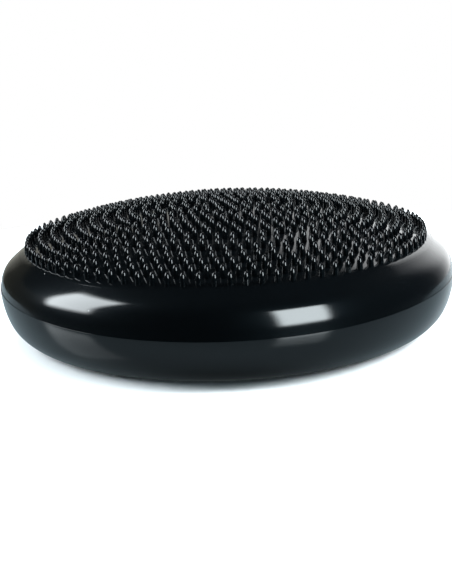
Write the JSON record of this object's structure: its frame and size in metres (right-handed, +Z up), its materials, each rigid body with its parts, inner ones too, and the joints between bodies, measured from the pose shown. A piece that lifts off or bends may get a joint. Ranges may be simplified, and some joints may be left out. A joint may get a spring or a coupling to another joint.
{
  "type": "wobble cushion",
  "caption": "Round air-filled balance cushion with a domed tread of concentric massage nubs, a rounded smooth rim and an inflation valve in the rear of the side.",
  "frame": {"origin": "centre of the underside's footprint, on the floor the cushion lies on", "axes": "+Z up through the crown of the tread; -Y is the front; the valve is at the rear, +Y"},
  "size_m": [0.3308, 0.3308, 0.0955],
  "materials": {
    "soft_pvc_smooth": "glossy near-black soft PVC",
    "soft_pvc_tread": "glossy near-black soft PVC, nubbed",
    "valve_rubber": "satin black rubber"
  },
  "bodies": {
    "foot": {"lower_shell": "soft_pvc_smooth"},
    "rim": {"upper_shoulder": "soft_pvc_smooth", "valve_socket": "valve_rubber"},
    "tread": {"tread_panel": "soft_pvc_tread"},
    "plug": {"valve_plug": "valve_rubber"}
  },
  "joints": [
    {"name": "tilt_about_x", "type": "hinge", "parent": "foot", "child": "rim", "pos_m": [0, 0, 0.0365], "axis": [1, 0, 0], "range_deg": [-4, 4], "stiffness_Nm_per_rad": 40, "deforming": ["lower_shell"]},
    {"name": "tilt_about_y", "type": "hinge", "parent": "rim", "child": "tread", "pos_m": [0, 0, 0.0365], "axis": [0, 1, 0], "range_deg": [-4, 4], "stiffness_Nm_per_rad": 40, "deforming": ["upper_shoulder"]},
    {"name": "plug_pull", "type": "slide", "parent": "rim", "child": "plug", "axis": [0, 0.9532, -0.3024], "range_m": [0, 0.017]}
  ]
}
